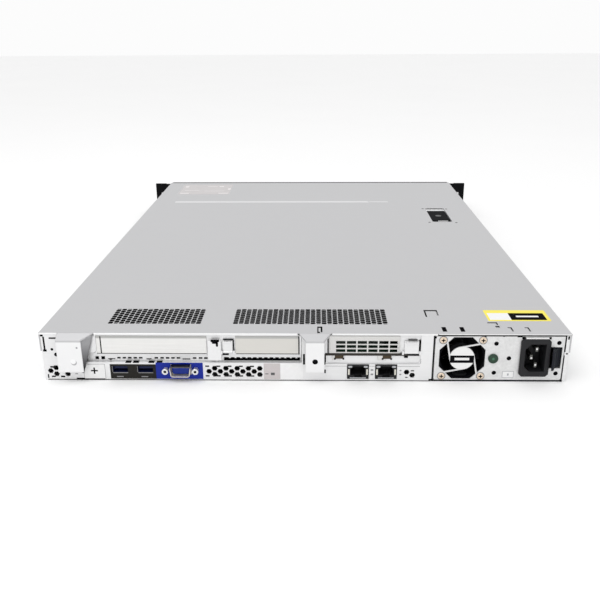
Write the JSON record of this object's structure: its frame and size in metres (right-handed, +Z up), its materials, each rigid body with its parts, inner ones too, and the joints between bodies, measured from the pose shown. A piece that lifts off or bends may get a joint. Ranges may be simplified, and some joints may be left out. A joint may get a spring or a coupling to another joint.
{
  "type": "one-unit rack server",
  "caption": "One-unit rack server with lift-off hood, rear ports, card slots, sliding power supply, fan row, main board and front drive carriers.",
  "frame": {"origin": "on the underside of the chassis, on its centreline, half-way between rear panel and drive levers", "axes": "+X to the right as seen from the rear, +Y from the rear panel towards the drive bays, +Z up"},
  "size_m": [0.4826, 0.614, 0.0428],
  "materials": {
    "zinc_sheet": "zinc-plated, satin",
    "hood_paint": "zinc-plated, finely brushed, satin",
    "supply_case": "plated, satin",
    "port_metal": "plated",
    "black_plastic": "moulded, matte",
    "lever_plastic": "moulded, matte",
    "ear_paint": "powder-coated black",
    "circuit_board": "solder mask",
    "cooler_metal": "extruded, bare",
    "processor_lid": "nickel-plated",
    "drive_case": "cast, bare",
    "lamp_green": "clear green lens",
    "contact_brass": "plated",
    "insert_blue": "moulded blue",
    "button_grey": "moulded, satin"
  },
  "bodies": {
    "chassis": {"base_pan": "zinc_sheet", "rear_panel": "zinc_sheet", "riser_cage": "zinc_sheet", "drive_cage": "zinc_sheet", "fan_wall": "zinc_sheet", "slot_covers": "zinc_sheet", "low_slot_cover": "zinc_sheet", "rail_studs": "zinc_sheet", "vga_port": "port_metal", "vga_insert": "insert_blue", "usb_ports": "port_metal", "lan_jacks": "black_plastic", "control_panel": "black_plastic", "fan_frames": "black_plastic", "air_baffle": "black_plastic", "board_sockets": "black_plastic", "rack_ear_left": "ear_paint", "rack_ear_right": "ear_paint", "main_board": "circuit_board", "riser_board": "circuit_board", "supply_board": "circuit_board", "drive_backplane": "circuit_board", "memory_modules": "circuit_board", "coolers": "cooler_metal", "processors": "processor_lid"},
    "hood": {"hood": "hood_paint", "hood_flanges": "hood_paint", "latch_dish": "zinc_sheet", "latch_pin": "port_metal"},
    "hood_latch": {"latch_lever": "black_plastic", "latch_screw": "port_metal"},
    "power_supply": {"psu_case": "supply_case", "psu_fan_frame": "black_plastic", "psu_board": "circuit_board", "psu_lamp": "lamp_green", "mains_inlet": "black_plastic", "inlet_contacts": "contact_brass"},
    "supply_release": {"psu_release": "black_plastic"},
    "supply_rotor": {"psu_fan_rotor": "black_plastic"},
    "power_button": {"power_button": "button_grey"},
    "locator_button": {"locator_button": "button_grey"},
    "riser_latch": {"riser_latch": "zinc_sheet"},
    "low_slot_latch": {"low_slot_latch": "zinc_sheet"},
    "fan_1": {"fan_rotor_1": "black_plastic"},
    "fan_2": {"fan_rotor_2": "black_plastic"},
    "fan_3": {"fan_rotor_3": "black_plastic"},
    "fan_4": {"fan_rotor_4": "black_plastic"},
    "fan_5": {"fan_rotor_5": "black_plastic"},
    "drive_carrier_1": {"carrier_1": "black_plastic", "drive_1": "drive_case"},
    "carrier_lever_1": {"carrier_lever_1": "lever_plastic"},
    "drive_carrier_2": {"carrier_2": "black_plastic", "drive_2": "drive_case"},
    "carrier_lever_2": {"carrier_lever_2": "lever_plastic"},
    "drive_carrier_3": {"carrier_3": "black_plastic", "drive_3": "drive_case"},
    "carrier_lever_3": {"carrier_lever_3": "lever_plastic"},
    "drive_carrier_4": {"carrier_4": "black_plastic", "drive_4": "drive_case"},
    "carrier_lever_4": {"carrier_lever_4": "lever_plastic"}
  },
  "joints": [
    {"name": "hood_lift", "type": "slide", "parent": "chassis", "child": "hood", "axis": [0, 0, 1], "range_m": [0, 0.12]},
    {"name": "hood_latch_pivot", "type": "hinge", "parent": "hood", "child": "hood_latch", "pos_m": [0.1697, 0.1155, 0.0399], "axis": [-1, 0, 0], "range_deg": [0, 85]},
    {"name": "supply_slide", "type": "slide", "parent": "chassis", "child": "power_supply", "axis": [0, -1, 0], "range_m": [0, 0.235]},
    {"name": "supply_release_pivot", "type": "hinge", "parent": "power_supply", "child": "supply_release", "pos_m": [0.209, -0.3001, 0.0218], "axis": [0, 0, -1], "range_deg": [0, 8], "stiffness_Nm_per_rad": 0.05},
    {"name": "supply_fan_spin", "type": "hinge", "parent": "power_supply", "child": "supply_rotor", "pos_m": [0.13, -0.2787, 0.0212], "axis": [0, 1, 0], "continuous": true},
    {"name": "fan_1_spin", "type": "hinge", "parent": "chassis", "child": "fan_1", "pos_m": [-0.176, 0.1065, 0.0212], "axis": [0, 1, 0], "continuous": true},
    {"name": "fan_2_spin", "type": "hinge", "parent": "chassis", "child": "fan_2", "pos_m": [-0.106, 0.1065, 0.0212], "axis": [0, 1, 0], "continuous": true},
    {"name": "fan_3_spin", "type": "hinge", "parent": "chassis", "child": "fan_3", "pos_m": [-0.036, 0.1065, 0.0212], "axis": [0, 1, 0], "continuous": true},
    {"name": "fan_4_spin", "type": "hinge", "parent": "chassis", "child": "fan_4", "pos_m": [0.034, 0.1065, 0.0212], "axis": [0, 1, 0], "continuous": true},
    {"name": "fan_5_spin", "type": "hinge", "parent": "chassis", "child": "fan_5", "pos_m": [0.104, 0.1065, 0.0212], "axis": [0, 1, 0], "continuous": true},
    {"name": "power_press", "type": "slide", "parent": "chassis", "child": "power_button", "axis": [0, -1, 0], "range_m": [0, 0.0015], "stiffness_N_per_m": 500},
    {"name": "locator_press", "type": "slide", "parent": "chassis", "child": "locator_button", "axis": [0, -1, 0], "range_m": [0, 0.0015], "stiffness_N_per_m": 500},
    {"name": "riser_latch_pivot", "type": "hinge", "parent": "chassis", "child": "riser_latch", "pos_m": [-0.062, -0.3037, 0.0262], "axis": [1, 0, 0], "range_deg": [0, 80]},
    {"name": "low_slot_latch_pivot", "type": "hinge", "parent": "chassis", "child": "low_slot_latch", "pos_m": [0.0884, -0.3037, 0.0262], "axis": [1, 0, 0], "range_deg": [0, 80]},
    {"name": "carrier_1_slide", "type": "slide", "parent": "chassis", "child": "drive_carrier_1", "axis": [0, 1, 0], "range_m": [0, 0.158]},
    {"name": "carrier_lever_1_pivot", "type": "hinge", "parent": "drive_carrier_1", "child": "carrier_lever_1", "pos_m": [-0.1131, 0.3017, 0.0149], "axis": [0, 0, -1], "range_deg": [0, 75]},
    {"name": "carrier_2_slide", "type": "slide", "parent": "chassis", "child": "drive_carrier_2", "axis": [0, 1, 0], "range_m": [0, 0.158]},
    {"name": "carrier_lever_2_pivot", "type": "hinge", "parent": "drive_carrier_2", "child": "carrier_lever_2", "pos_m": [-0.0075, 0.3017, 0.0149], "axis": [0, 0, -1], "range_deg": [0, 75]},
    {"name": "carrier_3_slide", "type": "slide", "parent": "chassis", "child": "drive_carrier_3", "axis": [0, 1, 0], "range_m": [0, 0.158]},
    {"name": "carrier_lever_3_pivot", "type": "hinge", "parent": "drive_carrier_3", "child": "carrier_lever_3", "pos_m": [0.0981, 0.3017, 0.0149], "axis": [0, 0, -1], "range_deg": [0, 75]},
    {"name": "carrier_4_slide", "type": "slide", "parent": "chassis", "child": "drive_carrier_4", "axis": [0, 1, 0], "range_m": [0, 0.158]},
    {"name": "carrier_lever_4_pivot", "type": "hinge", "parent": "drive_carrier_4", "child": "carrier_lever_4", "pos_m": [0.2037, 0.3017, 0.0149], "axis": [0, 0, -1], "range_deg": [0, 75]}
  ]
}
